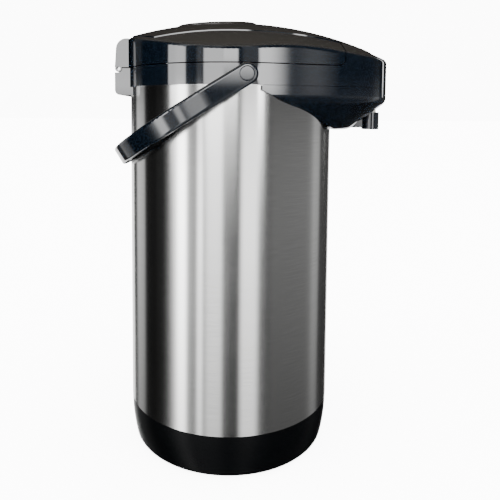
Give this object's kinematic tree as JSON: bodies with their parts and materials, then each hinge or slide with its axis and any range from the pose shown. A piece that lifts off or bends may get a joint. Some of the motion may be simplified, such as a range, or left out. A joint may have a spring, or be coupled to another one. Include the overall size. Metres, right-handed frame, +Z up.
{
  "type": "thermal coffee airpot",
  "caption": "Brushed steel pump airpot with a hinged domed lid, push button, front pouring nose with nozzle, and a swinging bail handle.",
  "frame": {"origin": "on the body's axis, on the plane that the foot ring stands on", "axes": "+Z up, +X towards the spout"},
  "size_m": [0.2299, 0.1912, 0.3538],
  "materials": {
    "steel": "brushed round the body",
    "flask_steel": "drawn and polished",
    "screw_steel": "bright zinc",
    "black_gloss": "polished moulding",
    "black_satin": "satin moulding",
    "base_plastic": "satin moulding",
    "inner_plastic": "food-grade moulding",
    "rubber": "matt",
    "silicone": "matt translucent"
  },
  "bodies": {
    "pot": {"outer_shell": "steel", "base_cup": "base_plastic", "base_plug": "base_plastic", "foot_ring": "rubber", "flask_cushion": "rubber", "flask_outer_wall": "flask_steel", "flask_inner_wall": "flask_steel", "neck_gasket": "silicone", "neck_funnel": "inner_plastic", "pipe_grommet": "silicone", "outlet_pipe": "inner_plastic", "dip_tube": "inner_plastic", "chin_cover": "black_gloss", "spout_nozzle": "black_gloss", "head_housing": "black_gloss", "housing_screws": "screw_steel", "hinge_pin": "screw_steel", "latch_pin": "screw_steel", "handle_pivot_pins": "screw_steel"},
    "lid": {"lid_shell": "black_gloss", "lid_liner": "inner_plastic", "lid_screws": "screw_steel", "lid_gasket": "silicone", "pump_cylinder": "inner_plastic", "air_valve": "silicone", "bellows": "rubber", "return_spring": "screw_steel"},
    "button": {"push_button": "black_satin", "pressure_plate": "inner_plastic"},
    "lock": {"lock_slider": "black_satin"},
    "latch": {"latch_lever": "black_satin"},
    "handle": {"bail_handle": "black_gloss", "handle_pivot_caps": "black_gloss"}
  },
  "joints": [
    {"name": "lid_hinge", "type": "hinge", "parent": "pot", "child": "lid", "pos_m": [-0.0903, 0, 0.3123], "axis": [0, -1, 0], "range_deg": [0, 80]},
    {"name": "button_press", "type": "slide", "parent": "lid", "child": "button", "axis": [0, 0, -1], "range_m": [0, 0.022], "stiffness_N_per_m": 1200, "springref_m": -0.01, "deforming": ["bellows", "return_spring"]},
    {"name": "lock_slide", "type": "slide", "parent": "lid", "child": "lock", "axis": [0, -1, 0], "range_m": [0, 0.013]},
    {"name": "latch_lift", "type": "hinge", "parent": "pot", "child": "latch", "pos_m": [0.093, 0, 0.33191], "axis": [0, -1, 0], "range_deg": [0, 14], "stiffness_Nm_per_rad": 0.25, "springref_deg": -17.19},
    {"name": "handle_swing", "type": "hinge", "parent": "pot", "child": "handle", "pos_m": [0.0124, 0, 0.3047], "axis": [0, 1, 0], "range_deg": [0, 150]}
  ]
}
